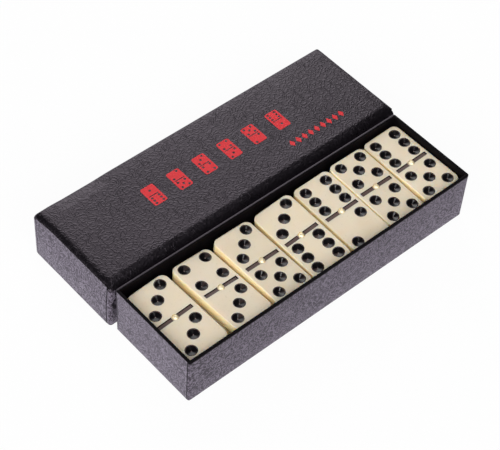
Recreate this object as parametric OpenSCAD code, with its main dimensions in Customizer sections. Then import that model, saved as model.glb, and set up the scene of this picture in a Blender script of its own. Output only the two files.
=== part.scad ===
// Double-six domino set in a two-part, paper-covered box.
// The open box holds four layers of seven tiles, and its lid stands behind it.
// Frame: +X along the row of tiles, +Y from the box towards the lid, +Z up,
// with the origin under the middle of the box. All sizes are in millimetres.

/* [Tiles] */
// Length of a tile, across the row
tile_l = 48.5; // [47.5:0.5:51]
// Width of a tile, along the row
tile_w = 24.2; // [23.6:0.2:26]
// Thickness of a tile, without its spinner's head
tile_t = 5.8; // [5.2:0.1:7.5]
// Radius of a tile's four upright corners
tile_corner_r = 3.6; // [2.4:0.1:4]
// Radius of the edges round a tile's face and back
tile_edge_r = 0.6; // [0.2:0.1:0.8]

/* [Pips] */
// Diameter of a pip at the face
pip_d = 6.3; // [5.4:0.1:6.5]
// Depth of a pip's hollow
pip_depth = 1; // [0.5:0.1:1.6]
// From the rim of an outer pip to the tile's long side
pip_side_margin = 2.1; // [1.8:0.1:3]
// From the rim of an outer pip to the tile's end, on all but the sixes
pip_end_margin = 1.9; // [1.5:0.1:2.4]
// From the rim of an outer pip to the tile's end, on the sixes
six_end_margin = 1.7; // [1.5:0.1:2]
// How far the middle of a half's pattern lies outside the middle of that half
pattern_shift = 0.7; // [0.6:0.1:0.9]
// How much nearer the groove the pattern of a six lies
six_pull = 0.6; // [0.3:0.1:0.8]

/* [Dividing groove and spinner] */
// Width of the groove between the two halves
groove_w = 2.3; // [1.6:0.1:2.6]
// Depth of the groove
groove_d = 1; // [0.6:0.1:1.5]
// From an end of the groove to the tile's long side
groove_end_margin = 1.7; // [1.5:0.1:3]
// Diameter of the spinner's domed head
head_d = 3.4; // [3:0.1:3.8]
// How far the head stands above the tile's face
head_proud = 0.7; // [0.4:0.05:0.8]
// Diameter of the spinner's shank
shank_d = 1.6; // [1:0.1:2]
// Length of the shank below the head
shank_l = 3; // [2:0.1:3.4]

/* [Box] */
// Thickness of the greyboard with its embossed paper
board_t = 1.45; // [1.2:0.05:2.4]
// Thickness of the black lining paper
lining_t = 0.15; // [0.1:0.05:0.3]
// Free length along the row of tiles, all gaps together
row_play = 12.6; // [11.8:0.2:14]
// Free width across the row, both gaps together
side_play = 3.3; // [3:0.1:5]
// From the top tiles' faces up to the rim
headroom = 4; // [2:0.1:6]
// Outer radius of the box's upright corners
box_corner_r = 1.2; // [0.8:0.1:2.5]
// Radius of the folded edges round the box's underside
fold_r = 0.7; // [0.3:0.1:0.8]
// Inner radius of the box's and the lid's upright corners
inner_corner_r = 0.5; // [0.3:0.1:1]

/* [Lid] */
// Outer height of the lid
lid_h = 28.1; // [20:0.1:30]
// Outer radius of the lid's upright corners
lid_corner_r = 1.6; // [1.5:0.1:2.5]
// Radius of the folded edges round the lid's top
lid_fold_r = 1.5; // [0.5:0.1:1.5]
// Gap between the box and the closed lid, on each side
lid_clear = 1.45; // [0.6:0.05:1.8]
// Bare edge below the lid's lining
lid_lining_setback = 1; // [0.5:0.1:3]
// Gap between the box and the lid that stands behind it
lid_gap = 3; // [2:0.5:30]
// How far the lid stands to the right of the box
lid_shift = 1.6; // [-10:0.1:10]
// How far the lid is turned, in degrees
lid_turn = 0; // [-1:0.1:1]

/* [Hidden] */
$fn = 64;
cut_over = 1;               // cutters reach this far past the face they open
rest_gap = 0.05;            // air left under a tile that lies on something
seat_clear = 0.08;          // air round a spinner's head and shank
foot_gap = 0.4;             // air under a spinner's shank

// The double-six set: each pair of numbers is one tile's [back half, front half].
highest_pips = 6;
top_row = [[3, 3], [4, 3], [3, 5], [3, 6], [6, 2], [5, 5], [6, 5]];
whole_set = [for (a = [0:highest_pips]) for (b = [0:a]) [a, b]];
lower_rows = [for (t = whole_set) if (!is_in_top_row(t)) t];
stacked = concat(lower_rows, top_row);
columns = len(top_row);
layers = len(whole_set) / columns;
tiles = [0:len(stacked) - 1];

function is_in_top_row(t) = len([for (u = top_row) if (u == t || u == [t[1], t[0]]) u]) > 0;

// Where the tiles lie in the box.
wall_t = board_t + lining_t;
inner_l = columns * tile_w + row_play;
inner_w = tile_l + side_play;
box_l = inner_l + 2 * wall_t;
box_w = inner_w + 2 * wall_t;
layer_pitch = tile_t + head_proud + rest_gap;
first_tile_z = wall_t + rest_gap;
box_h = first_tile_z + (layers - 1) * layer_pitch + tile_t + headroom;

// Where each column lies: shares of the free length left of it and of the free width
// in front of it, and its turn as a share of the slant that the free length allows.
left_shares = [0.081, 0.223, 0.158, 0.191, 0.149, 0.034, 0.132];
front_shares = [0.224, 0.158, 0.224, 0.197, 0.148, 0.194, 0.455];
turn_shares = [0.091, 0.1, 0.117, -0.005, -0.014, 0.025, 0.02];
free_slant = atan(row_play / tile_l);

// Each tile rocks on the head below it: shares of the rise that the head leaves at
// the tile's end (the back end up) and at its long side (the left side up).
rock_rise = head_proud + rest_gap;
end_rocks = [0.043, -0.19, 0.37, 0.35, 0.389, 0.64, 0.013];
side_rocks = [-0.174, 0.395, 0.312, -0.46, -0.172, 0.119, -0.136];

// How far each column's pattern lies right of and behind the tile's middle.
right_offsets = [-0.7, 0, 0, 0, 0, 0, 0];
back_offsets = [0.45, 0.45, 0.45, 0.45, -0.45, 0.45, -0.45];

function sum_to(list, last) = last < 0 ? 0 : list[last] + sum_to(list, last - 1);
function column(i) = i % columns;
function layer(i) = floor(i / columns);
function column_x(c) = -inner_l / 2 + row_play * sum_to(left_shares, c) + tile_w * (c + 0.5);
function column_y(c) = -inner_w / 2 + side_play * front_shares[c] + tile_l / 2;
function tile_z(i) = first_tile_z + layer(i) * layer_pitch;
function rock(i) = layer(i) * [atan(end_rocks[column(i)] * rock_rise / (tile_l / 2)),
                               atan(side_rocks[column(i)] * rock_rise / (tile_w / 2))];

// Pips and groove of a tile.
pip_side = tile_w / 2 - pip_side_margin - pip_d / 2;
half_centre = tile_l / 4 + pattern_shift;
groove_l = tile_w - 2 * groove_end_margin;
pip_sphere_r = (pow(pip_d / 2, 2) + pow(pip_depth, 2)) / (2 * pip_depth);

function end_margin(n) = n == 6 ? six_end_margin : pip_end_margin;
function pattern_centre(n) = n == 6 ? half_centre - six_pull : half_centre;
function pip_reach(n) = tile_l / 2 - pattern_centre(n) - end_margin(n) - pip_d / 2;
function pip_spots(n) = concat(
    n % 2 == 1 ? [[0, 0]] : [],
    n > 1 ? [[1, 1], [-1, -1]] : [],
    n > 3 ? [[1, -1], [-1, 1]] : [],
    n == 6 ? [[1, 0], [-1, 0]] : []);

// Spinner.
head_h = groove_d + head_proud;
head_sphere_r = (pow(head_d / 2, 2) + pow(head_h, 2)) / (2 * head_h);

// Lid.
lid_inner_l = box_l + 2 * lid_clear;
lid_inner_w = box_w + 2 * lid_clear;
lid_l = lid_inner_l + 2 * wall_t;
lid_w = lid_inner_w + 2 * wall_t;
lid_y = box_w / 2 + lid_gap + lid_w / 2;

// A tile and its spinner are named after the tile's two numbers.
function pair_name(i) = str(stacked[i][0], "_", stacked[i][1]);
function tile_name(i) = str("tile_", pair_name(i));
function spinner_name(i) = str("spinner_", pair_name(i));

// Side view of a rounded block: width by height, standing on the X axis.
module side_section(width, height, top_r, bottom_r) {
    waist = height / 2;
    translate([-width / 2, bottom_r]) square([width, height - top_r - bottom_r]);
    translate([-width / 2 + bottom_r, 0]) square([width - 2 * bottom_r, waist]);
    translate([-width / 2 + top_r, waist]) square([width - 2 * top_r, height - waist]);
    for (side = [-1, 1]) {
        if (bottom_r > 0) translate([side * (width / 2 - bottom_r), bottom_r]) circle(bottom_r);
        if (top_r > 0) translate([side * (width / 2 - top_r), height - top_r]) circle(top_r);
    }
}

// Block with round upright corners and rounded top and bottom edges, standing on z = 0.
module rounded_block(width, length, height, corner_r, top_r, bottom_r) {
    straight_w = width - 2 * corner_r;
    straight_l = length - 2 * corner_r;
    translate([0, straight_l / 2, 0]) rotate([90, 0, 0])
        linear_extrude(straight_l) side_section(width, height, top_r, bottom_r);
    translate([-straight_w / 2, 0, 0]) rotate([90, 0, 90])
        linear_extrude(straight_w) side_section(length, height, top_r, bottom_r);
    for (x = [-1, 1]) for (y = [-1, 1])
        translate([x * straight_w / 2, y * straight_l / 2, 0])
            rotate_extrude() intersection() {
                side_section(2 * corner_r, height, top_r, bottom_r);
                square([corner_r, height]);
            }
}

// Upright prism with a rounded rectangle as its outline, standing on z = 0.
module rounded_prism(width, length, height, corner_r) {
    rounded_block(width, length, height, corner_r, 0, 0);
}

module at_tile(i) {
    c = column(i);
    translate([column_x(c), column_y(c), tile_z(i)])
        rotate([rock(i)[0], rock(i)[1], free_slant * turn_shares[c]]) children();
}

// The middle of the pattern: where the groove and the spinner are.
module at_pattern(i) {
    translate([right_offsets[column(i)], back_offsets[column(i)], 0]) children();
}

// Round hollows of one half; side is 1 for the back half and -1 for the front half.
module pip_hollows(n, side) {
    for (spot = pip_spots(n))
        translate([spot[0] * pip_side, side * pattern_centre(n) + spot[1] * pip_reach(n),
                   tile_t - pip_depth + pip_sphere_r])
            sphere(pip_sphere_r);
}

module tile(i) {
    color("cornsilk") at_tile(i) difference() {
        rounded_block(tile_w, tile_l, tile_t, tile_corner_r, tile_edge_r, tile_edge_r);
        at_pattern(i) {
            pip_hollows(stacked[i][0], 1);
            pip_hollows(stacked[i][1], -1);
            translate([-groove_l / 2, -groove_w / 2, tile_t - groove_d])
                cube([groove_l, groove_w, groove_d + cut_over]);
            translate([0, 0, tile_t - groove_d])
                cylinder(r = head_d / 2 + seat_clear, h = groove_d + cut_over);
            translate([0, 0, tile_t - groove_d - shank_l - foot_gap])
                cylinder(r = shank_d / 2 + seat_clear, h = shank_l + foot_gap + cut_over);
        }
    }
}

// Brass pin whose domed head sits in the middle of the groove.
module spinner(i) {
    color("gold") at_tile(i) at_pattern(i) translate([0, 0, tile_t - groove_d]) {
        intersection() {
            translate([0, 0, head_h - head_sphere_r]) sphere(head_sphere_r);
            cylinder(d = head_d, h = head_h);
        }
        translate([0, 0, -shank_l]) cylinder(d = shank_d, h = shank_l + head_h / 2);
    }
}

module box_tray() {
    color("dimgray") difference() {
        rounded_block(box_l, box_w, box_h - lining_t, box_corner_r, 0, fold_r);
        translate([0, 0, board_t])
            rounded_prism(inner_l + 2 * lining_t, inner_w + 2 * lining_t, box_h, inner_corner_r + lining_t);
    }
}

// Black paper on the floor and the inner walls, folded out over the rim.
module box_lining() {
    color("black") difference() {
        union() {
            translate([0, 0, board_t])
                rounded_prism(inner_l + 2 * lining_t, inner_w + 2 * lining_t, box_h - board_t,
                              inner_corner_r + lining_t);
            translate([0, 0, box_h - lining_t])
                rounded_prism(box_l, box_w, lining_t, box_corner_r);
        }
        translate([0, 0, wall_t]) rounded_prism(inner_l, inner_w, box_h, inner_corner_r);
    }
}

module at_lid() {
    translate([lid_shift, lid_y, 0]) rotate(lid_turn) children();
}

module lid_shell() {
    color("dimgray") at_lid() difference() {
        rounded_block(lid_l, lid_w, lid_h, lid_corner_r, lid_fold_r, 0);
        translate([0, 0, -cut_over])
            rounded_prism(lid_inner_l + 2 * lining_t, lid_inner_w + 2 * lining_t,
                          lid_h - board_t + cut_over, inner_corner_r + lining_t);
    }
}

// Black paper under the lid's top and down its inner walls.
module lid_lining() {
    color("black") at_lid() difference() {
        translate([0, 0, lid_lining_setback])
            rounded_prism(lid_inner_l + 2 * lining_t, lid_inner_w + 2 * lining_t,
                          lid_h - board_t - lid_lining_setback, inner_corner_r + lining_t);
        rounded_prism(lid_inner_l, lid_inner_w, lid_h - wall_t, inner_corner_r);
    }
}

box_tray();
box_lining();
lid_shell();
lid_lining();
for (i = tiles) {
    tile(i);
    spinner(i);
}
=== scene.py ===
# %% [markdown]
# # A double-six domino set in its two-part box
# Twenty-eight cream tiles lie in four layers of seven inside a rigid box that is
# covered with embossed paper. The lid stands on the table behind the box.
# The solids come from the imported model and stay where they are. This notebook
# gives them their finishes, and adds what a rigid solid lacks: the folded paper,
# the paint in the pips and grooves, and the printing on the lid.

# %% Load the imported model
import math

import bmesh
import bpy
from mathutils import Matrix, Vector, noise


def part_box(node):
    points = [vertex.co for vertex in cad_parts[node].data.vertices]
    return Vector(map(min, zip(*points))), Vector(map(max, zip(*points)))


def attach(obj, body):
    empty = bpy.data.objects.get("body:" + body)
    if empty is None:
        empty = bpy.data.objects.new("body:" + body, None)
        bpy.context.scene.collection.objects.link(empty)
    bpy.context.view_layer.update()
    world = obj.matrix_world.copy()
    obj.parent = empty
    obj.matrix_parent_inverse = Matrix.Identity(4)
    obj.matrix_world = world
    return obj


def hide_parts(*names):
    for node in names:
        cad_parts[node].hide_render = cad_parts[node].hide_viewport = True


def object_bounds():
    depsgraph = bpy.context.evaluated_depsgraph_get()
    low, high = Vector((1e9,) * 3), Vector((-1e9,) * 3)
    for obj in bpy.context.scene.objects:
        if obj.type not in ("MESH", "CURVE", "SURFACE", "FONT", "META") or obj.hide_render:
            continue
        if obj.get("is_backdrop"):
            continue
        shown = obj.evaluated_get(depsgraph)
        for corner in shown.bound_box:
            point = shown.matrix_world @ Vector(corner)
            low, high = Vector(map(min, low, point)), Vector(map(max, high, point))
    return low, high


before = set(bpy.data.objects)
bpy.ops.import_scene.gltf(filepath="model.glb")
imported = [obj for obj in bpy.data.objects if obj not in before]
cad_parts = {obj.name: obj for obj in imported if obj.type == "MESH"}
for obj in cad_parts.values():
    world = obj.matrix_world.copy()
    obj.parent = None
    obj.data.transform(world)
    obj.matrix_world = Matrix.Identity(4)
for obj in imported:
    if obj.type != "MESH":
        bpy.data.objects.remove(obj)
bpy.context.view_layer.update()
cad_low, cad_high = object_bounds()
MM = 0.001
scene = bpy.context.scene
tile_names = sorted(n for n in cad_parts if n.startswith("tile_"))
print(len(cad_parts), "CAD nodes,", len(tile_names), "of them tiles")

# %% [markdown]
# ## The camera
# A long lens looks down at the box from its front left corner. The azimuth is
# counted from the -Y side and the elevation from the table. A small roll turns
# the picture about the line of sight, as a hand-held camera does.

# %% Camera
VIEW_AZIMUTH = math.radians(-44.435)
VIEW_ELEVATION = math.radians(49.86)
VIEW_ROLL = math.radians(4.268)
VIEW_DISTANCE = 0.8013
LENS_LENGTH = 114.411
SENSOR_WIDTH = 36
LOOK_AT = Vector((-7.125, 27.216, 15.0)) * MM


def view_direction(azimuth, elevation):
    """Unit vector from the thing looked at towards the viewer."""
    flat = math.cos(elevation)
    return Vector((math.sin(azimuth) * flat, -math.cos(azimuth) * flat, math.sin(elevation)))


def place_camera():
    back = view_direction(VIEW_AZIMUTH, VIEW_ELEVATION)
    level = (-back).cross(Vector((0, 0, 1))).normalized()
    upright = level.cross(-back)
    right = level * math.cos(VIEW_ROLL) + upright * math.sin(VIEW_ROLL)
    up = upright * math.cos(VIEW_ROLL) - level * math.sin(VIEW_ROLL)
    lens = bpy.data.cameras.new("camera")
    lens.lens = LENS_LENGTH
    lens.sensor_width = SENSOR_WIDTH
    lens.clip_start = 0.01
    lens.clip_end = 20
    camera = bpy.data.objects.new("camera", lens)
    axes = Matrix((right, up, back)).transposed().to_4x4()
    camera.matrix_world = Matrix.Translation(LOOK_AT + back * VIEW_DISTANCE) @ axes
    scene.collection.objects.link(camera)
    scene.camera = camera
    return camera


camera = place_camera()
print("camera at", [round(c, 3) for c in camera.matrix_world.translation])

# %% [markdown]
# ## Writing shaders as sums
# A material is a small network of nodes. Wiring each sum by hand is slow to read,
# so a `Wire` stands for one output socket, and the ordinary operators on it add
# the Math nodes. Every other node comes from `Bench.node`, which takes the node's
# type, its settings and the values or wires that go into its sockets.

# %% Shader bench
class Wire:
    """One output socket. Arithmetic on it adds Math nodes to its bench."""

    def __init__(self, bench, node, socket):
        self.bench, self.node, self.socket = bench, node, socket

    def out(self, name):
        """Another output of the same node."""
        return Wire(self.bench, self.node, self.node.outputs[name])

    def __add__(self, other):
        return self.bench.maths("ADD", self, other)

    def __sub__(self, other):
        return self.bench.maths("SUBTRACT", self, other)

    def __rsub__(self, other):
        return self.bench.maths("SUBTRACT", other, self)

    def __mul__(self, other):
        return self.bench.maths("MULTIPLY", self, other)

    def __truediv__(self, other):
        return self.bench.maths("DIVIDE", self, other)

    def __pow__(self, other):
        return self.bench.maths("POWER", self, other)

    __radd__ = __add__
    __rmul__ = __mul__


class Bench:
    """The node tree of a material, of the world or of a modifier, ready to wire."""

    def __init__(self, owner):
        if not isinstance(owner, bpy.types.NodeTree):
            owner.use_nodes = True
            owner = owner.node_tree
        self.tree = owner
        self.tree.nodes.clear()

    def node(self, kind, settings=None, inputs=None, out=0):
        """Adds a node: its settings first, then the value or the wire of each input."""
        node = self.tree.nodes.new(kind)
        for name, value in (settings or {}).items():
            setattr(node, name, value)
        for name, value in (inputs or {}).items():
            self.feed(node, name, value)
        return Wire(self, node, node.outputs[out]) if node.outputs else node

    def feed(self, node, name, value):
        """Gives one input its wire or its constant. Inputs go by name or place."""
        if isinstance(name, int):
            socket = node.inputs[name]
        else:
            socket = next(s for s in node.inputs if s.enabled and s.name == name)
        if isinstance(value, Wire):
            self.tree.links.new(value.socket, socket)
        else:
            socket.default_value = value

    def maths(self, operation, *terms):
        return self.node("ShaderNodeMath", {"operation": operation}, dict(enumerate(terms)))

    def smooth(self, value, low, high):
        """0 below low, 1 above high, and a soft step between them."""
        ends = {"From Min": low, "From Max": high}
        return self.node(
            "ShaderNodeMapRange",
            {"interpolation_type": "SMOOTHSTEP"},
            {"Value": value, **ends},
        )

    def blend(self, share, first, second):
        """Colour mix: first where share is 0, second where it is 1."""
        return self.node(
            "ShaderNodeMix",
            {"data_type": "RGBA"},
            {"Factor": share, "A": first, "B": second},
            out="Result",
        )

    def noise(self, place, scale, detail=2.0, rough=0.5, kind="3D"):
        inputs = {"Vector": place, "Scale": scale, "Detail": detail, "Roughness": rough}
        return self.node("ShaderNodeTexNoise", {"noise_dimensions": kind}, inputs)

    def stretch(self, place, scale):
        """Scales a pattern's coordinates about the origin."""
        return self.node("ShaderNodeMapping", None, {"Vector": place, "Scale": scale})

    def part(self, vector, axis):
        """One coordinate of a vector."""
        return self.node("ShaderNodeSeparateXYZ", None, {0: vector}).out(axis)

    def bump(self, height, depth, strength=1.0):
        """A normal that leans as if the height stood out of the surface by depth."""
        inputs = {"Strength": strength, "Distance": depth, "Height": height}
        return self.node("ShaderNodeBump", None, inputs)


print("bench ready")

# %% [markdown]
# Each finish is a function that takes a bench and returns the inputs of one
# Principled shader. `finish_of` makes the material around it.

# %% Materials from functions
def rgb(red, green, blue):
    return (red, green, blue, 1.0)


def finish_of(name, recipe):
    """A material whose Principled shader takes what recipe(bench) returns."""
    material = bpy.data.materials.new(name)
    bench = Bench(material)
    surface = bench.node("ShaderNodeBsdfPrincipled", None, recipe(bench))
    bench.node("ShaderNodeOutputMaterial", None, {"Surface": surface})
    return material


# %% [markdown]
# ## Embossed cover paper
# Cheap rigid boxes are covered with black paper that was pressed between rollers,
# so that it carries fine winding ridges, like the contour lines of a map. An image
# could hold the pattern, but a rule has no seam and no limit of sharpness. Here the
# height of a slow noise goes through a sine, which draws its contour lines as
# ridges, and a fine grain lies on top. The pattern runs on the paper's own UV map,
# in millimetres, so it folds round the edges as the sheet does. Level panels stay
# black. On the upright walls the raised parts get a paler grey base colour. This is
# painted sheen, standing in for the light that the walls catch from the table.

# %% Embossed paper
# size of the slow noise in millimetres, and contour lines over its whole height
RELIEF_SIZE = 7.0
CONTOURS = 8.0
RELIEF_DEPTH = 0.06 * MM


def winding_ridges(bench, place):
    """Ridge height from 0 to 1: the contour lines of a slow, ragged noise."""
    ground = bench.noise(place, 1 / RELIEF_SIZE, 2.0, 0.5, "2D")
    lines = bench.maths("SINE", ground * (2 * math.pi * CONTOURS))
    return lines * 0.5 + 0.5


def wall_share(bench):
    """1 where the paper stands upright, 0 where it lies flat."""
    normal = bench.node("ShaderNodeTexCoord").out("Normal")
    level = bench.maths("ABSOLUTE", bench.part(normal, "Z"))
    return 1 - bench.smooth(level, 0.1, 0.35)


def embossed_paper(bench):
    place = bench.node("ShaderNodeUVMap", {"uv_map": "sheet"})
    ridges = winding_ridges(bench, place)
    grain = bench.noise(place, 1.1, 2.0, 0.5)
    cloud = bench.noise(place, 0.045, 2.0)
    bump = bench.bump(ridges**3 * 0.8 + grain * 0.35, RELIEF_DEPTH)
    # painted sheen: raised parts of the upright walls get a paler base colour, for the light they
    # catch from the table
    ridge_sheen = bench.smooth(ridges * 0.45 + grain * 0.75, 0.4, 0.85)
    wall = bench.blend(ridge_sheen, rgb(0.006, 0.005, 0.007), rgb(0.125, 0.108, 0.138))
    colour = bench.blend(wall_share(bench), rgb(0.003, 0.0025, 0.0035), wall)
    return {
        "Base Color": colour,
        "Roughness": 0.28 + cloud * 0.08 - ridges * 0.04,
        "Specular Tint": rgb(1.0, 0.84, 1.0),
        "Normal": bump,
    }


paper = finish_of("embossed_paper", embossed_paper)
print("material", paper.name)

# %% [markdown]
# ## Lining paper
# The inside and the rim are covered with plain black paper that hardly shines. One
# flat black would look like a hole, so a soft mottle changes how rough it is, and
# faint streaks from the roller keep it from looking like plastic.

# %% Lining paper
def lining_paper(bench):
    place = bench.node("ShaderNodeTexCoord").out("Object")
    streaks = bench.noise(bench.stretch(place, (60, 60, 1400)), 1.0, 3.0)
    grain = bench.noise(place, 2600, 2.0)
    mottle = bench.noise(place, 90, 3.0)
    bump = bench.bump(grain * 0.7 + streaks * 0.5, 0.04 * MM, 0.35)
    colour = bench.blend(mottle, rgb(0.002, 0.0015, 0.002), rgb(0.005, 0.004, 0.005))
    return {
        "Base Color": colour,
        "Roughness": 0.34 + mottle * 0.16,
        "Specular IOR Level": 0.05,
        "Normal": bump,
    }


lining = finish_of("lining_paper", lining_paper)
print("material", lining.name)

# %% [markdown]
# ## Ivory plastic
# The tiles are moulded in cream plastic that lets some light in. Light that has
# wandered through it comes out honey-coloured on the sides, where tiles face each
# other. Subsurface scattering makes part of that, and the base colour adds the
# rest: it deepens as the surface turns away from straight up.

# %% Ivory plastic
def ivory_plastic(bench):
    coordinates = bench.node("ShaderNodeTexCoord")
    place = coordinates.out("Object")
    facing = bench.part(coordinates.out("Normal"), "Z")
    cloud = bench.noise(place, 55, 3.0)
    speck = bench.noise(place, 900, 2.0)
    warm = bench.smooth(cloud, 0.35, 0.7)
    face = bench.blend(warm, rgb(0.76, 0.655, 0.50), rgb(0.735, 0.62, 0.455))
    side = bench.blend(warm, rgb(0.95, 0.78, 0.47), rgb(0.90, 0.72, 0.41))
    level = bench.smooth(bench.maths("ABSOLUTE", facing), 0.1, 0.75)
    return {
        "Base Color": bench.blend(level, side, face),
        "Roughness": 0.24 + speck * 0.1,
        "Normal": bench.bump(cloud * 0.7 + speck * 0.3, 0.03 * MM, 0.2),
        "Subsurface Weight": 0.5,
        "Subsurface Radius": (1.0, 0.68, 0.4),
        "Subsurface Scale": 0.004,
    }


ivory = finish_of("ivory_plastic", ivory_plastic)
print("material", ivory.name)

# %% [markdown]
# ## Black enamel and spinner brass
# The pips and the groove are filled with glossy black paint that has settled in
# the hollows. Where it lies level, as on the groove's floor, it gets a brown base
# colour. This is a painted reflection of the bright screen behind the set, and the
# surface's direction chooses between the two colours. The spinner is the domed head
# of a brass pin, turned and polished.

# %% Enamel and brass
def black_enamel(bench):
    coordinates = bench.node("ShaderNodeTexCoord")
    sag = bench.noise(coordinates.out("Object"), 700, 2.0)
    # painted reflection: level paint, as on the groove's floor, gets a brown base colour for the
    # bright screen it mirrors
    level_reflection = bench.smooth(bench.part(coordinates.out("Normal"), "Z"), 0.97, 0.995)
    black_coat = bench.blend(sag, rgb(0.003, 0.0025, 0.003), rgb(0.006, 0.005, 0.006))
    colour = bench.blend(level_reflection, black_coat, rgb(0.15, 0.10, 0.09))
    return {
        "Base Color": colour,
        "Roughness": 0.14 + sag * 0.06,
        "Specular IOR Level": 0.3,
        "Normal": bench.bump(sag, 0.02 * MM, 0.2),
    }


def spinner_brass(bench):
    place = bench.node("ShaderNodeTexCoord").out("Object")
    tarnish = bench.noise(place, 800, 3.0)
    marks = bench.noise(place, 6000, 2.0)
    colour = bench.blend(tarnish, rgb(1.0, 0.89, 0.63), rgb(0.92, 0.75, 0.46))
    return {
        "Base Color": colour,
        "Metallic": 0.4,
        "Roughness": 0.3 + tarnish * 0.16,
        "Normal": bench.bump(marks, 0.02 * MM, 0.15),
    }


enamel = finish_of("black_enamel", black_enamel)
brass = finish_of("spinner_brass", spinner_brass)
print("materials", enamel.name, brass.name)

# %% [markdown]
# ## Red print
# The lid is printed in one red. Ink on embossed paper keeps the paper's relief, so
# the same ridges go into its bump, and where grain and ridges stand up the ink is
# worn and a little duller.

# %% Red print
def red_print(bench):
    place = bench.node("ShaderNodeUVMap", {"uv_map": "sheet"})
    ridges = winding_ridges(bench, place)
    grain = bench.noise(place, 2.4, 3.0, 0.6)
    bump = bench.bump(ridges * 0.62 + grain * 0.55, 0.1 * MM, 0.5)
    worn = bench.smooth(grain * 0.8 + ridges * 0.2, 0.35, 0.8)
    colour = bench.blend(worn, rgb(0.66, 0.018, 0.026), rgb(0.58, 0.022, 0.03))
    return {"Base Color": colour, "Roughness": 0.5 + grain * 0.12, "Normal": bump}


red_ink = finish_of("red_print", red_print)
print("material", red_ink.name)

# %% [markdown]
# ## Dress the moulded and turned parts
# The tiles and spinners have their true shape already, with rounded edges, pip
# hollows and grooves, so they keep their CAD meshes and only get their finish.

# %% Dress tiles and spinners
for name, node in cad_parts.items():
    if name.startswith("tile_"):
        node.material_slots[0].material = ivory
    elif name.startswith("spinner_"):
        node.material_slots[0].material = brass
print("dressed", len(tile_names), "tiles and as many spinners")

# %% [markdown]
# ## Paper shells
# A rigid box is greyboard wrapped in one sheet. Its edges are folds, so they are
# round, and its walls are never quite flat. Each shell here is a stack of rings:
# a ring is a rounded rectangle with the same number of points as every other, and
# neighbouring rings are skinned with quads. A profile says how far each ring lies
# inside the outer faces, and how high.

# %% Rings and skins
ARC_STEPS = 6
LONG_STEPS = 62
SHORT_STEPS = 20
CORNERS = ((1, 1), (-1, 1), (-1, -1), (1, -1))


def ring(half_x, half_y, radius, z):
    """A rounded rectangle at height z, anticlockwise from the start of its first corner."""
    points = []
    for quarter, (side_x, side_y) in enumerate(CORNERS):
        centre = Vector((side_x * (half_x - radius), side_y * (half_y - radius), z))
        for step in range(ARC_STEPS + 1):
            angle = (quarter + step / ARC_STEPS) * math.pi / 2
            points.append(centre + radius * Vector((math.cos(angle), math.sin(angle), 0)))
        next_x, next_y = CORNERS[(quarter + 1) % 4]
        along = Vector((next_x - side_x, next_y - side_y, 0))
        along.x *= half_x - radius
        along.y *= half_y - radius
        steps = LONG_STEPS if quarter % 2 == 0 else SHORT_STEPS
        start = points[-1].copy()
        points += [start + along * (step / steps) for step in range(1, steps)]
    return points


def skin(rings):
    """Points and faces of a stack of rings, with a cap on both ends."""
    count = len(rings[0])
    points = [point for one in rings for point in one]
    faces = []
    for level in range(len(rings) - 1):
        low, high = level * count, (level + 1) * count
        for i in range(count):
            j = (i + 1) % count
            faces.append((low + i, low + j, high + j, high + i))
    last = (len(rings) - 1) * count
    faces.append(tuple(range(count)))
    faces.append(tuple(last + i for i in range(count)))
    return points, faces


def make_piece(name, points, faces, material, sharp_above=40):
    """A closed mesh object with outward faces, smooth except at sharp edges."""
    mesh = bpy.data.meshes.new(name)
    mesh.from_pydata([tuple(p) for p in points], [], faces)
    work = bmesh.new()
    work.from_mesh(mesh)
    bmesh.ops.remove_doubles(work, verts=work.verts, dist=1e-6)
    bmesh.ops.recalc_face_normals(work, faces=work.faces)
    work.to_mesh(mesh)
    work.free()
    mesh.shade_smooth()
    mesh.set_sharp_from_angle(angle=math.radians(sharp_above))
    mesh.materials.append(material)
    piece = bpy.data.objects.new(name, mesh)
    scene.collection.objects.link(piece)
    return piece


print("points in a ring:", len(ring(1, 1, 0.1, 0)))

# %% [markdown]
# A profile is easiest to read as steps: across a panel, round a fold, up a wall.
# Every step is a pair, the inset from the outer face and the height.

# %% Profile steps
PANEL_INSETS = (1.6, 2.4, 3.5, 6.0, 9.5, 14.0, 19.0, 24.0)


def panel(z, inset=0.0):
    """Across a flat panel from its edge to its middle."""
    return [(inset + step * MM, z) for step in PANEL_INSETS]


def fold(inset, z, radius, side, rise, steps=5):
    """A quarter round from an upright wall at inset to a panel at height z.
    side is 1 where the panel lies inside the wall, and rise is 1 where it is above."""
    angles = [math.pi / 2 * k / steps for k in range(steps + 1)]
    return [
        (inset + side * radius * (1 - math.cos(a)), z - rise * radius * (1 - math.sin(a)))
        for a in angles
    ]


def upright(inset, low, high, parts=8):
    """Up a wall, with the ends left to the folds."""
    return [(inset, low + (high - low) * k / parts) for k in range(1, parts)]


def shell(name, half_x, half_y, corner_r, profile, material):
    """A piece whose rings follow a profile of (inset, height) pairs."""
    rings = []
    for inset, z in profile:
        radius = max(corner_r - inset, 0.25 * MM)
        rings.append(ring(half_x - inset, half_y - inset, radius, z))
    points, faces = skin(rings)
    return make_piece(name, points, faces, material)


print("a fold:", [(round(a / MM, 2), round(b / MM, 2)) for a, b in fold(0, MM, MM, 1, 1, 2)])

# %% [markdown]
# The wrapping sheet lies flat in its UV map: the panel in the middle, and each
# wall folded outwards from its edge. A face takes the flap that it looks towards.
# Board also bows a little, so a slow noise moves the points of the panels and the
# long walls by a tenth of a millimetre or two, and leaves the corners in place.

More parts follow.
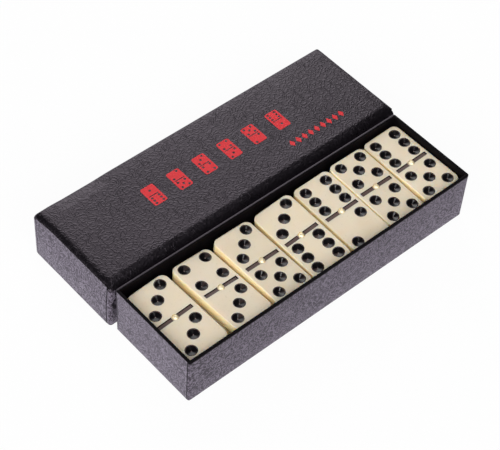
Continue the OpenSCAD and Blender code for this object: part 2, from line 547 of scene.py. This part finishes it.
# %% Unfold and bow
def unfold(piece, half_x, half_y, fold_z):
    """UV map in millimetres: the flat sheet before it is folded at height fold_z."""
    mesh = piece.data
    sheet = mesh.uv_layers.new(name="sheet")
    for face in mesh.polygons:
        facing = [abs(c) for c in face.normal]
        on_panel = facing[2] >= 0.6
        on_end = not on_panel and facing[0] >= facing[1]
        for loop in face.loop_indices:
            point = mesh.vertices[mesh.loops[loop].vertex_index].co
            drop = abs(point.z - fold_z)
            u, v = point.x, point.y
            if on_end:
                u = math.copysign(half_x + drop, point.x)
            elif not on_panel:
                v = math.copysign(half_y + drop, point.y)
            sheet.data[loop].uv = (u / MM, v / MM)


def wave(point, size, seed):
    """A smooth value from about -1 to 1 that changes over the given size."""
    return noise.noise(point / size + Vector((seed, seed * 1.7, seed * 0.3)))


def fade(distance, width):
    """0 at an edge, 1 beyond width from it, and smooth between them."""
    share = max(0.0, min(1.0, distance / width))
    return share * share * (3 - 2 * share)


def bow(piece, half_x, half_y, low, high, amount, seed):
    """Bends the long walls and the panels of a shell by up to amount."""
    for vertex in piece.data.vertices:
        point = vertex.co
        from_end = half_x - abs(point.x)
        from_side = half_y - abs(point.y)
        from_panel = min(point.z - low, high - point.z)
        swell = amount * wave(point, 0.04, seed)
        if from_end < 2 * MM:
            continue
        if from_side < 2 * MM:
            held = fade(from_end, 0.012) * fade(from_panel, 0.01)
            vertex.co.y += math.copysign(swell * held, point.y)
        else:
            lower = point.z < (low + high) / 2
            rise = abs(swell) if lower else swell
            vertex.co.z += rise * fade(min(from_end, from_side), 0.012)


def ride_as(piece, body, slot, *nodes):
    """Puts a piece on its body, and lets it stand for CAD nodes. slot is not used."""
    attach(piece, body)
    if nodes:
        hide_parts(*nodes)
    print(piece.name, "rides on", body, "with", len(piece.data.polygons), "faces")


# %% [markdown]
# ## The box
# The cover paper runs from the underside up the outside of the walls to the rim.
# The piece is closed behind it by the inner face of the board. A cube with bevelled
# edges would be quicker, but rings give points all along the walls, which can bow.

# %% Box cover
BOARD = 1.45 * MM
LINING = 0.15 * MM
WALL = BOARD + LINING
FOLD_R = 0.7 * MM
CORNER_R = 1.2 * MM
RIM_ROLL = 0.42 * MM
BOW = 0.2 * MM

box_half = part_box("box_tray")[1]
rim_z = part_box("box_lining")[1].z


def box_cover_profile():
    shoulder = rim_z - RIM_ROLL
    outside = list(reversed(panel(0))) + list(reversed(fold(0, 0, FOLD_R, 1, -1)))
    outside += upright(0, FOLD_R, shoulder)
    return outside + [(0, shoulder), (BOARD, shoulder), (BOARD, BOARD)] + panel(BOARD, BOARD)


box_cover = shell("box_cover", box_half.x, box_half.y, CORNER_R, box_cover_profile(), paper)
bow(box_cover, box_half.x, box_half.y, 0, rim_z, BOW, 3)
unfold(box_cover, box_half.x, box_half.y, 0)
ride_as(box_cover, "box", "embossed_card", "box_tray")

# %% [markdown]
# The black lining comes up the inside, rolls over the board's edge, and runs a
# little way down the outside. On the back wall's rim the cover paper shows outside
# the lining instead, so a few faces there take the paper's material.

# %% Box lining
# how far the lining stands out of the wall and runs down it, and the gap for glue
PROUD = 0.04 * MM
WRAP = 0.75 * MM
GLUE = 0.02 * MM


def box_lining_profile():
    inner_roll = 0.5 * MM
    seen = list(reversed(panel(WALL, WALL))) + [(WALL + 0.3 * MM, WALL), (WALL, WALL + 0.3 * MM)]
    seen += upright(WALL, WALL, rim_z - inner_roll)
    seen += fold(WALL, rim_z, inner_roll, -1, 1)
    seen += list(reversed(fold(-PROUD, rim_z, RIM_ROLL, 1, 1)))
    shoulder = rim_z - RIM_ROLL
    back = BOARD + GLUE
    tucked = [(-PROUD, shoulder - WRAP), (0.1 * MM, shoulder - WRAP), (0.1 * MM, shoulder + GLUE)]
    tucked += [(back, shoulder + GLUE), (back, back)]
    return seen + tucked + panel(back, back)


box_inside = shell(
    "box_paper_lining", box_half.x, box_half.y, CORNER_R, box_lining_profile(), lining
)
box_inside.data.materials.append(paper)
for face in box_inside.data.polygons:
    on_back_rim = face.center.y > box_half.y - MM and face.center.z > rim_z - RIM_ROLL
    if on_back_rim and face.normal.z > 0.2:
        face.material_index = 1
ride_as(box_inside, "box", "black_lining", "box_lining")

# %% [markdown]
# ## The lid
# The lid is the same kind of shell upside down, and a little larger, so that it
# slides over the box. Its back and right edges are tight folds, and use has made
# the left and front edges soft. One bevel could not be tight and soft at once, so
# each ring takes its insets and heights from three profiles, one for each kind of
# edge. The lid is built about its own middle and then put in its place.

# %% Lid cover
LID_CORNER_R = 1.6 * MM
LID_PANEL_INSETS = (24.0, 19.0, 14.0, 11.0, 9.0, 7.8, 6.9, 6.2)
EDGE_STEPS = 12
# width and depth of the round edge of the panel on each side
TIGHT_EDGE = (1.3 * MM, 1.3 * MM)
LEFT_EDGE = (4.8 * MM, 2.2 * MM)
FRONT_EDGE = (5.4 * MM, 3.4 * MM)

lid_low, lid_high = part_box("lid_shell")
lid_top = lid_high.z
lid_middle = (lid_low + lid_high) / 2
lid_half = (lid_high - lid_low) / 2
lid_place = Matrix.Translation((lid_middle.x, lid_middle.y, 0))


def lid_cover_profile(edge):
    """From the panel over its round edge, a quarter of an ellipse, down the wall and back in."""
    wide, deep = edge
    outside = [(inset * MM, lid_top) for inset in LID_PANEL_INSETS]
    for k in range(EDGE_STEPS + 1):
        angle = math.pi / 2 * k / EDGE_STEPS
        outside.append((wide * (1 - math.sin(angle)), lid_top - deep * (1 - math.cos(angle))))
    outside += upright(0, lid_top - deep, 0.2 * MM) + [(0, 0.2 * MM), (0.2 * MM, 0)]
    return outside + [(BOARD, 0), (BOARD, lid_top - BOARD)] + panel(lid_top - BOARD, BOARD)


def lid_rings():
    """Rings with the tight edge at the back and right, and softer edges at the left and front."""
    rings = []
    edges = [lid_cover_profile(edge) for edge in (TIGHT_EDGE, LEFT_EDGE, FRONT_EDGE)]
    for (inset, z), (left, left_z), (front, front_z) in zip(*edges):
        half_x = lid_half.x - (inset + left) / 2
        half_y = lid_half.y - (inset + front) / 2
        middle = Vector((left - inset, front - inset, 0)) / 2
        points = ring(half_x, half_y, max(LID_CORNER_R - inset, 0.25 * MM), z)
        for point in points:
            near_left = 1 - fade(point.x + half_x, 9 * MM)
            near_front = 1 - fade(point.y + half_y, 9 * MM)
            point.z += min((left_z - z) * near_left, (front_z - z) * near_front)
        rings.append([point + middle for point in points])
    return rings


print("insets and heights of a ring:", len(lid_cover_profile(TIGHT_EDGE)))

# %% [markdown]
# A lid that has been opened often is no longer square. Sculpting would do, but a
# few formulas on the distance from each edge give the same wear on every run.

# %% Wear
LEAN = 0.9 * MM
SUNK = 0.3 * MM
CREASE = 0.3 * MM
DENT = 0.4 * MM


def hump(distance, width):
    """1 at distance 0, falling to 0 on both sides like a bell."""
    return math.exp(-((distance / width) ** 2))


def wear_lid(piece):
    """The panel sinks along the front edge, and the back edge is pressed in near
    its left end, which leaves a crease along the edge."""
    for vertex in piece.data.vertices:
        point = vertex.co
        if point.z < lid_top - 3.5 * MM:
            continue
        share = fade(point.z - lid_top + 3.5 * MM, 3 * MM)
        from_front = lid_half.y + point.y
        from_back = lid_half.y - point.y
        from_left = lid_half.x + point.x
        sunk = SUNK * (1 - fade(from_front - 3.9 * MM, 2.6 * MM))
        along = fade(from_left - 9 * MM, 10 * MM) * fade(46 * MM - from_left, 10 * MM)
        pressed = CREASE * hump(from_back - 5.2 * MM, 1.5 * MM)
        pressed += DENT * hump(from_back, 2.2 * MM)
        vertex.co.z -= share * (sunk + along * pressed)


def lean_in(piece):
    """The left wall of the lid leans in, but not at its back corner; its inner skin stays."""
    for vertex in piece.data.vertices:
        point = vertex.co
        from_left = lid_half.x + point.x
        inner = from_left > BOARD - 0.05 * MM and point.z < lid_top - BOARD + 0.05 * MM
        if not inner:
            rise = fade(point.z - lid_top + 17 * MM, 15 * MM) * fade(lid_half.y - point.y, 16 * MM)
            vertex.co.x += LEAN * rise * (1 - fade(from_left, 10 * MM))


lid_cover = make_piece("lid_cover", *skin(lid_rings()), paper)
bow(lid_cover, lid_half.x, lid_half.y, 0, lid_top, BOW, 11)
wear_lid(lid_cover)
lean_in(lid_cover)
unfold(lid_cover, lid_half.x, lid_half.y, lid_top)
lid_cover.data.transform(lid_place)
ride_as(lid_cover, "lid", "embossed_card", "lid_shell")
print("lid half sizes:", [round(c / MM, 2) for c in lid_half])

# %% Lid lining
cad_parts["lid_lining"].material_slots[0].material = lining
print("the lid's lining keeps its CAD mesh")

# %% [markdown]
# ## End papers
# On each end of the lid and of the box the wrap is finished with a flap that is
# glued over the corner turn-ins. A line in the material could stand for it, but a
# real flap has a cut edge that stands out by the paper's thickness. So each is a
# thin closed sheet that rises out of the wall. Along its cut edges a strip of black
# lining paper, wider than the paper is thick, is painted shade: it stands in for the
# dark line of shadow at the flap's edge.

# %% End papers
PAPER = 0.16 * MM
# width of the black strip of painted shade along each cut edge
EDGE_SHADE_WIDTH = 0.3 * MM
BURIED = 0.3 * MM
FLAP_COLUMNS = 26
FLAP_ROWS = 12


def sheet_faces(across, up, shift):
    """Faces of two grids of points, front and back, closed round their border."""
    width = across + 1
    faces = []
    for row in range(up):
        for column in range(across):
            a = row * width + column
            faces.append((a, a + 1, a + width + 1, a + width))
            faces.append(tuple(shift + i for i in (a, a + width, a + width + 1, a + 1)))
    border = list(range(across)) + [row * width + across for row in range(up)]
    border += [up * width + column for column in range(across, 0, -1)]
    border += [row * width for row in range(up, 0, -1)]
    for i, a in enumerate(border):
        b = border[(i + 1) % len(border)]
        faces.append((a, shift + a, shift + b, b))
    return faces


def end_paper(name, x_face, side, half_width, low, high, glued_at_top, body, place=None):
    """A thin flap on an end wall. It rises out of the wall from its folded edge."""
    across, up = FLAP_COLUMNS, FLAP_ROWS
    edge = half_width - EDGE_SHADE_WIDTH
    spread = [edge * (2 * column / (across - 2) - 1) for column in range(across - 1)]
    spread = [-half_width, *spread, half_width]
    front, back = [], []
    for row in range(up + 1):
        z = low + (high - low) * row / up
        from_fold = high - z if glued_at_top else z - low
        lift = PAPER * fade(from_fold + 0.4 * MM, 4 * MM)
        for y in spread:
            ripple = 0.5 * PAPER * wave(Vector((x_face, y, z)), 0.012, 5)
            out = lift + ripple * fade(half_width - abs(y), 0.01)
            front.append(Vector((x_face + side * out, y, z)))
            back.append(Vector((x_face - side * BURIED, y, z)))
    faces = sheet_faces(across, up, len(front))
    flap = make_piece(name, front + back, faces, paper, 50)
    flap.data.materials.append(lining)
    # painted shade: faces in the strips along the cut edges take the black lining, for the shadow
    # line there
    for face in flap.data.polygons:
        if abs(face.center.y) > edge:
            face.material_index = 1
    if glued_at_top:
        lean_in(flap)
    unfold(flap, abs(x_face), half_width, lid_top if glued_at_top else 0)
    if place:
        flap.data.transform(place)
    ride_as(flap, body, "embossed_card")


for label, side in (("left", -1), ("right", 1)):
    end_paper(
        f"lid_end_paper_{label}", side * lid_half.x, side, lid_half.y - 2.6 * MM,
        0.25 * MM, lid_top - 0.8 * MM, True, "lid", lid_place,
    )
    end_paper(
        f"box_end_paper_{label}", side * box_half.x, side, box_half.y - 1.3 * MM,
        0.8 * MM, rim_z - RIM_ROLL - 0.05 * MM, False, "box",
    )

# %% [markdown]
# ## Paint in the hollows
# Paint pools in a hollow: its back follows the hollow, its front is a shallow cone
# that runs up the sides, and it thins out at the rim. A second material on the
# hollow's own faces would colour it but add no thickness, so the paint is a piece of
# its own. Its section is a rule, so Geometry Nodes bends a grid into it: one way of
# the grid is the turn about the pip, the other runs out along the front of the layer
# and back behind it. The finished dish is then placed on every pip.

# %% Measure the tiles
PIP_R = 3.15 * MM
PIP_DEPTH = 1.0 * MM
PIP_SIDE = 6.85 * MM
HALF_CENTRE = 12.825 * MM
SIX_CENTRE = 12.225 * MM
PIP_REACH = 6.375 * MM
SIX_REACH = 7.175 * MM
GROOVE_HALF = 10.4 * MM
GROOVE_W = 2.3 * MM
GROOVE_DEPTH = 1.0 * MM
HEAD_PROUD = 0.7 * MM
COAT = 0.05 * MM
GROOVE_COAT = 0.03 * MM
GROOVE_START = 1.6 * MM


def tile_place(name):
    """Placement of the middle of a tile's pattern: its face's normal gives the tilt,
    its long side gives the turn, and the pin in the middle gives the place."""
    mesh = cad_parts[name].data
    flat = max((f for f in mesh.polygons if f.normal.z > 0.9), key=lambda f: f.area)
    face = flat.normal.copy()
    side = Vector()
    for other in mesh.polygons:
        if other.normal.x > 0.9 and other.area > 10 * MM * MM:
            side += other.normal * other.area
    along = face.cross(side).normalized()
    across = along.cross(face)
    turn = Matrix((across, along, face)).transposed()
    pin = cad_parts[name.replace("tile", "spinner")].data
    head = max(pin.vertices, key=lambda v: v.co.dot(face)).co
    low = [min(v.co.dot(axis) for v in pin.vertices) for axis in (across, along)]
    high = [max(v.co.dot(axis) for v in pin.vertices) for axis in (across, along)]
    spot = across * (low[0] + high[0]) / 2 + along * (low[1] + high[1]) / 2
    spot += face * (head.dot(face) - HEAD_PROUD)
    return Matrix.Translation(spot) @ turn.to_4x4()


def pip_spots(count):
    """Places of a half's pips, in steps across and along the tile."""
    spots = [(0, 0)] if count % 2 else []
    spots += [(1, 1), (-1, -1)] if count > 1 else []
    spots += [(1, -1), (-1, 1)] if count > 3 else []
    spots += [(1, 0), (-1, 0)] if count == 6 else []
    return spots


def pip_centres(name):
    """Centres of a tile's pips on its face, about the middle of its pattern."""
    centres = []
    for count, side in zip(map(int, name.split("_")[1:]), (1, -1)):
        reach = SIX_REACH if count == 6 else PIP_REACH
        middle = side * (SIX_CENTRE if count == 6 else HALF_CENTRE)
        for across, along in pip_spots(count):
            centres.append(Vector((across * PIP_SIDE, middle + along * reach, 0)))
    return centres


lean = [round(math.degrees(a), 2) for a in tile_place("tile_3_6").to_euler()]
print("tilt, tilt and turn of tile_3_6:", lean, "degrees")

# %% [markdown]
# Each tile gets a cloud of points: one on every pip, and two in the middle for the
# two halves of the groove. The points carry a turn, which the tree reads. The
# paint is made flat at the origin, and then laid on the tile, however it leans.

# %% Points for the paint
def paint_points(name):
    """A mesh of single points: the pips, and the groove's halves with their turn."""
    centres = pip_centres(name)
    mesh = bpy.data.meshes.new(name + "_points")
    mesh.from_pydata([*centres, Vector(), Vector()], [], [])
    turns = [0.0] * (len(centres) + 1) + [math.pi]
    is_groove = [False] * len(centres) + [True, True]
    mesh.attributes.new("turn", "FLOAT", "POINT").data.foreach_set("value", turns)
    mesh.attributes.new("groove", "BOOLEAN", "POINT").data.foreach_set("value", is_groove)
    host = bpy.data.objects.new(name + "_points", mesh)
    scene.collection.objects.link(host)
    return host


def open_trough(name, start, end, width, depth, coat):
    """Paint on the floor, the sides and the far end of one half of a groove."""
    half, inner = width / 2, width / 2 - coat
    top = 0.5 * coat
    points = []
    for stop, reach, floor in ((end, half, -depth), (end - coat, inner, coat - depth)):
        corners = ((start, -reach), (stop, -reach), (stop, reach), (start, reach))
        for z in (floor, top):
            points += [(x, y, z) for x, y in corners]
    faces = [(0, 1, 2, 3), (8, 9, 10, 11), (0, 3, 11, 8)]
    for a, b in ((0, 1), (1, 2), (2, 3)):
        faces.append((a, b, b + 4, a + 4))
        faces.append((a + 8, b + 8, b + 12, a + 12))
        faces.append((a + 4, b + 4, b + 12, a + 12))
    faces += [(0, 4, 12, 8), (3, 7, 15, 11)]
    return make_piece(name, points, faces, enamel, 30)


trough = open_trough(
    "groove_paint", GROOVE_START, GROOVE_HALF, GROOVE_W, GROOVE_DEPTH, GROOVE_COAT
)
print("pips on tile_6_6:", len(pip_centres("tile_6_6")))
print("faces of the trough:", len(trough.data.polygons))

# %% [markdown]
# The tree itself. A grid one unit wide becomes the dish: `turn` goes round the
# pip, and `out` is 0 in the middle of the front, 1 at the rim, and 0 again in the
# middle of the back. The hollow is part of a ball, which gives its depth anywhere.

# %% Paint tree
def paint_tree():
    tree = bpy.data.node_groups.new("paint_in_hollows", "GeometryNodeTree")
    sockets = {
        "Points": "NodeSocketGeometry",
        "Pip radius": "NodeSocketFloat",
        "Pip depth": "NodeSocketFloat",
        "Coat": "NodeSocketFloat",
        "Segments": "NodeSocketInt",
        "Rings": "NodeSocketInt",
        "Trough": "NodeSocketObject",
        "Paint": "NodeSocketMaterial",
    }
    for label, kind in sockets.items():
        tree.interface.new_socket(label, in_out="INPUT", socket_type=kind)
    tree.interface.new_socket("Geometry", in_out="OUTPUT", socket_type="NodeSocketGeometry")
    bench = Bench(tree)
    given = bench.node("NodeGroupInput")
    pip_r, depth, coat = (given.out(n) for n in ("Pip radius", "Pip depth", "Coat"))

    grid = bench.node(
        "GeometryNodeMeshGrid",
        None,
        {
            "Size X": 1.0,
            "Size Y": 1.0,
            "Vertices X": given.out("Segments") + 1,
            "Vertices Y": given.out("Rings") * 2 + 1,
        },
    )
    flat = bench.node("ShaderNodeSeparateXYZ", None, {0: bench.node("GeometryNodeInputPosition")})
    turn = flat.out("X") * (2 * math.pi)
    out = 1 - bench.maths("ABSOLUTE", flat.out("Y")) * 2
    radius = out * pip_r
    ball = (pip_r * pip_r + depth * depth) / (depth * 2)
    hollow = ball - depth - bench.maths("SQRT", ball * ball - radius * radius)
    on_front = bench.maths("GREATER_THAN", flat.out("Y"), 0.0)
    cone = (out - 1) * (depth - coat)
    layer = bench.maths("MAXIMUM", cone - hollow, coat * (1 - out**6)) * on_front
    bent = bench.node(
        "ShaderNodeCombineXYZ",
        None,
        {
            "X": radius * bench.maths("COSINE", turn),
            "Y": radius * bench.maths("SINE", turn),
            "Z": hollow + coat * 0.25 + layer,
        },
    )
    dish = bench.node("GeometryNodeSetPosition", None, {"Geometry": grid, "Position": bent})
    dish = bench.node("GeometryNodeMergeByDistance", None, {"Geometry": dish, "Distance": 1e-6})
    dish = bench.node("GeometryNodeSetShadeSmooth", None, {"Geometry": dish})

    groove = bench.node(
        "GeometryNodeInputNamedAttribute", {"data_type": "BOOLEAN"}, {"Name": "groove"}
    )
    facing = bench.node(
        "GeometryNodeInputNamedAttribute", {"data_type": "FLOAT"}, {"Name": "turn"}
    )
    pip = bench.node("FunctionNodeBooleanMath", {"operation": "NOT"}, {0: groove})
    spin = bench.node("ShaderNodeCombineXYZ", None, {"Z": facing})
    half = bench.node("GeometryNodeObjectInfo", None, {"Object": given.out("Trough")})
    on_points = {"Points": given.out("Points"), "Rotation": spin}
    dishes = bench.node(
        "GeometryNodeInstanceOnPoints", None, {**on_points, "Selection": pip, "Instance": dish}
    )
    troughs = bench.node(
        "GeometryNodeInstanceOnPoints",
        None,
        {**on_points, "Selection": groove, "Instance": half.out("Geometry")},
    )
    joined = bench.node("GeometryNodeJoinGeometry", None, {"Geometry": dishes})
    bench.feed(joined.node, "Geometry", troughs)
    real = bench.node("GeometryNodeRealizeInstances", None, {"Geometry": joined})
    inked = bench.node(
        "GeometryNodeSetMaterial", None, {"Geometry": real, "Material": given.out("Paint")}
    )
    bench.node("NodeGroupOutput", None, {"Geometry": inked})
    return tree


paint_nodes = paint_tree()
print("paint tree:", len(paint_nodes.nodes), "nodes")

# %% [markdown]
# A modifier's inputs are set by their identifiers. The evaluated result becomes a
# plain mesh, one for each tile, because every tile is a body of its own.

# %% Paint every tile
def run_nodes(host, tree, values, name):
    """A plain mesh piece from the tree's result on host, which is then removed."""
    modifier = host.modifiers.new("nodes", "NODES")
    modifier.node_group = tree
    for item in tree.interface.items_tree:
        if item.in_out == "INPUT" and item.name in values:
            modifier[item.identifier] = values[item.name]
    graph = bpy.context.evaluated_depsgraph_get()
    mesh = bpy.data.meshes.new_from_object(host.evaluated_get(graph))
    host.modifiers.remove(modifier)
    bpy.data.objects.remove(host)
    work = bmesh.new()
    work.from_mesh(mesh)
    bmesh.ops.recalc_face_normals(work, faces=work.faces)
    work.to_mesh(mesh)
    work.free()
    for attribute in ("turn", "groove"):
        if attribute in mesh.attributes:
            mesh.attributes.remove(mesh.attributes[attribute])
    piece = bpy.data.objects.new(name, mesh)
    scene.collection.objects.link(piece)
    return piece


top_z = max(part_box(name)[1].z for name in tile_names)
for name in tile_names:
    on_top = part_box(name)[1].z > top_z - 4 * MM
    sizes = {
        "Pip radius": PIP_R + 0.02 * MM,
        "Pip depth": PIP_DEPTH,
        "Coat": COAT,
        "Segments": 40 if on_top else 14,
        "Rings": 7 if on_top else 2,
        "Trough": trough,
        "Paint": enamel,
    }
    paint = run_nodes(paint_points(name), paint_nodes, sizes, name.replace("tile", "paint"))
    paint.data.transform(tile_place(name))
    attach(paint, name)
bpy.data.objects.remove(trough)
print("painted", len(tile_names), "tiles; the last has", len(paint.data.polygons), "faces")

# %% [markdown]
# ## Printing on the lid
# The lid carries a plain generic ornament in red: a row of six domino faces whose
# pips are left open, and a short row of lozenges below it. Each outline and each
# hole is one closed line of a flat curve, which fills itself around the holes.

# %% Ornament outlines
PRINT_H = 13.0 * MM
PRINT_W = 8.0 * MM
PRINT_PITCH = 16.6 * MM
PRINT_MIDDLE = Vector((0.6, 3.4)) * MM
PRINT_PIP_R = 0.72 * MM
PRINT_PIP_STEPS = (2.2, 1.9)
LOZENGES = 9
LOZENGE_START = 37
LOZENGE_PITCH = 4.3
INK = 0.02 * MM


def outline(points, curve):
    """Adds one closed line to a flat curve."""
    spline = curve.splines.new("POLY")
    spline.points.add(len(points) - 1)
    for place, point in zip(spline.points, points):
        place.co = (*point, 0, 1)
    spline.use_cyclic_u = True


def round_line(centre, radius, count=20):
    steps = [2 * math.pi * i / count for i in range(count)]
    return [centre + radius * Vector((math.cos(a), math.sin(a))) for a in steps]


def round_cornered(centre, width, height, radius):
    corners = ring(width / 2, height / 2, radius, 0)
    return [centre + point.xy for point in corners]


print("outlines ready")

# %% Domino faces and lozenges
def print_domino(curve, centre, upper, lower):
    """One domino face: a filled block with open pips and an open bar."""
    outline(round_cornered(centre, PRINT_W, PRINT_H, 1.1 * MM), curve)
    outline(round_cornered(centre, 0.72 * PRINT_W, 0.6 * MM, 0.1 * MM), curve)
    for count, side in ((upper, 1), (lower, -1)):
        middle = centre + Vector((0, side * PRINT_H / 4 + side * 0.1 * MM))
        for across, along in pip_spots(count):
            step = Vector((across * PRINT_PIP_STEPS[0], along * PRINT_PIP_STEPS[1])) * MM
            outline(round_line(middle + step, PRINT_PIP_R), curve)


def print_lozenge(curve, centre):
    wide, tall = 1.5 * MM, 2.3 * MM
    corners = ((wide, 0), (0, tall), (-wide, 0), (0, -tall))
    outline([centre + Vector(corner) for corner in corners], curve)


def lid_print():
    curve = bpy.data.curves.new("lid_print", "CURVE")
    curve.dimensions = "2D"
    curve.fill_mode = "BOTH"
    curve.extrude = INK
    for i in range(6):
        across = (i - 2.5) * PRINT_PITCH
        print_domino(curve, PRINT_MIDDLE + Vector((across, 0)), i + 1, 6 - i)
    for i in range(LOZENGES):
        print_lozenge(curve, Vector((LOZENGE_START + LOZENGE_PITCH * i, -14.0)) * MM)
    flat = bpy.data.objects.new("lid_print", curve)
    scene.collection.objects.link(flat)
    graph = bpy.context.evaluated_depsgraph_get()
    mesh = bpy.data.meshes.new_from_object(flat.evaluated_get(graph))
    bpy.data.objects.remove(flat)
    mesh.name = "lid_print"
    mesh.materials.clear()
    mesh.materials.append(red_ink)
    piece = bpy.data.objects.new("lid_print", mesh)
    scene.collection.objects.link(piece)
    return piece


ornament = lid_print()
print("ornament:", len(ornament.data.polygons), "faces")

# %% Lay the print on the lid
def lay_on_lid(piece, gap):
    """Sets the print just above the bowed lid, and takes the lid's UV map."""
    to_lid = lid_place.inverted()
    for vertex in piece.data.vertices:
        start = lid_place @ Vector((vertex.co.x, vertex.co.y, lid_top + 5 * MM))
        hit, spot, _, _ = lid_cover.ray_cast(start, Vector((0, 0, -1)))
        height = (to_lid @ spot).z if hit else lid_top
        vertex.co.z += height + gap
    unfold(piece, lid_half.x, lid_half.y, lid_top)
    piece.data.transform(lid_place)
    ride_as(piece, "lid", "red_print")


lay_on_lid(ornament, 0.05 * MM)

# %% [markdown]
# ## Table and light
# Dark, shiny card is lit more by what it mirrors than by what falls on it. So most
# of the light is the world itself: a bright screen behind the set, a broad light on
# the camera's side, a weaker band low on the left, and a nearly dark ceiling. Area
# lamps could do the same, but one rule over the world's directions is easier to
# tune. One small lamp overhead adds the only sharp light. To the camera the world
# is white, and the table glows white with a little matt white mixed in, which takes
# the shadows. In reflections the table is grey in front and brighter behind.

# %% Table
# share of the table's own glow in what the camera and the reflections see
TABLE_GLOW = 0.94


def white_table():
    material = bpy.data.materials.new("white_table")
    bench = Bench(material)
    matt = bench.node("ShaderNodeBsdfDiffuse", None, {"Color": rgb(0.88, 0.88, 0.885)})
    path = bench.node("ShaderNodeLightPath")
    spot = bench.node("ShaderNodeTexCoord").out("Object")
    behind = bench.smooth(bench.part(spot, "Y"), -0.05, -0.01)
    mirrored = bench.blend(behind, rgb(0.64, 0.60, 0.68), rgb(1.06, 1.0, 1.15))
    shade = bench.blend(path.out("Is Glossy Ray"), rgb(1, 1, 1), mirrored)
    glow = bench.node("ShaderNodeEmission", None, {"Color": shade, "Strength": 1.0})
    seen = bench.maths("MAXIMUM", path.out("Is Camera Ray"), path.out("Is Glossy Ray"))
    seen = bench.maths("MAXIMUM", seen, path.out("Is Transmission Ray"))
    mixed = bench.node("ShaderNodeMixShader", None, {0: seen * TABLE_GLOW, 1: matt, 2: glow})
    bench.node("ShaderNodeOutputMaterial", None, {"Surface": mixed})
    return material


def lay_table():
    mesh = bpy.data.meshes.new("table")
    reach, z = 3.0, -0.1 * MM
    corners = [(x * reach, y * reach, z) for x, y in ((-1, -1), (1, -1), (1, 1), (-1, 1))]
    mesh.from_pydata(corners, [], [(0, 1, 2, 3)])
    mesh.materials.append(white_table())
    table = bpy.data.objects.new("table", mesh)
    scene.collection.objects.link(table)
    table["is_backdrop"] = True


lay_table()
print("table laid")

# %% Lamp and backdrop
LAMP_TOWARDS = Vector((0.12, 0.01, 0.993)).normalized()
LAMP_DISTANCE = 1.4
LAMP_SIZE = 0.1
LAMP_POWER = 0.9
SCREEN_GLOW = 3.9
FRONT_GLOW = 3.7
LEFT_GLOW = 1.2
ROOM_GLOW = 0.015


def hang_lamp():
    lamp = bpy.data.lights.new("small_lamp", "AREA")
    lamp.shape = "DISK"
    lamp.size = LAMP_SIZE
    lamp.energy = LAMP_POWER
    holder = bpy.data.objects.new("small_lamp", lamp)
    aim = LAMP_TOWARDS.to_track_quat("Z", "Y").to_matrix().to_4x4()
    holder.matrix_world = Matrix.Translation(LOOK_AT + LAMP_TOWARDS * LAMP_DISTANCE) @ aim
    scene.collection.objects.link(holder)


def light_world():
    """Light from directions: away runs from the camera past the set, aside to its right."""
    world = bpy.data.worlds.new("studio")
    scene.world = world
    bench = Bench(world)
    direction = bench.node("ShaderNodeTexCoord").out("Generated")
    parts = bench.node("ShaderNodeSeparateXYZ", None, {0: direction})
    height = parts.out("Z")
    away_x, away_y = -math.sin(VIEW_AZIMUTH), math.cos(VIEW_AZIMUTH)
    away = parts.out("X") * away_x + parts.out("Y") * away_y
    aside = parts.out("X") * away_y - parts.out("Y") * away_x
    right = bench.smooth(aside, -0.02, 0.2)
    low = 1 - bench.smooth(height, 0.15, 0.35)
    screen = bench.smooth(away, 0.45, 0.85) * bench.smooth(aside, -0.5, -0.25)
    screen = screen * (1 - right * (1 - low * 0.5)) * (0.1 + bench.smooth(height, 0.25, 0.55) * 0.9)
    left = (1 - bench.smooth(aside, -0.6, -0.3)) * (1 - bench.smooth(height, 0.4, 0.6))
    front = (1 - bench.smooth(away, -0.58, -0.33)) * (0.3 + bench.smooth(height, 0.15, 0.45) * 0.7)
    to_camera = bench.node("ShaderNodeLightPath").out("Is Camera Ray")
    glow = bench.maths("MAXIMUM", screen * SCREEN_GLOW, front * FRONT_GLOW)
    glow = bench.maths("MAXIMUM", glow, left * LEFT_GLOW) + ROOM_GLOW
    glow = glow * (1 - to_camera) + to_camera
    shine = bench.node("ShaderNodeBackground", None, {"Color": rgb(1, 1, 1), "Strength": glow})
    bench.node("ShaderNodeOutputWorld", None, {"Surface": shine})


hang_lamp()
light_world()
scene.view_settings.view_transform = "Standard"
print("lamp and backdrop ready")

# %% [markdown]
# ## Sizes
# The size of the finished model is kept beside the size of the CAD solids, so
# that the two can be compared.

# %% Sizes and finish
dressed_low, dressed_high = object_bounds()
sizes = {
    "cad": [list(cad_low), list(cad_high)],
    "visual": [list(dressed_low), list(dressed_high)],
}
print("sizes:", sizes)
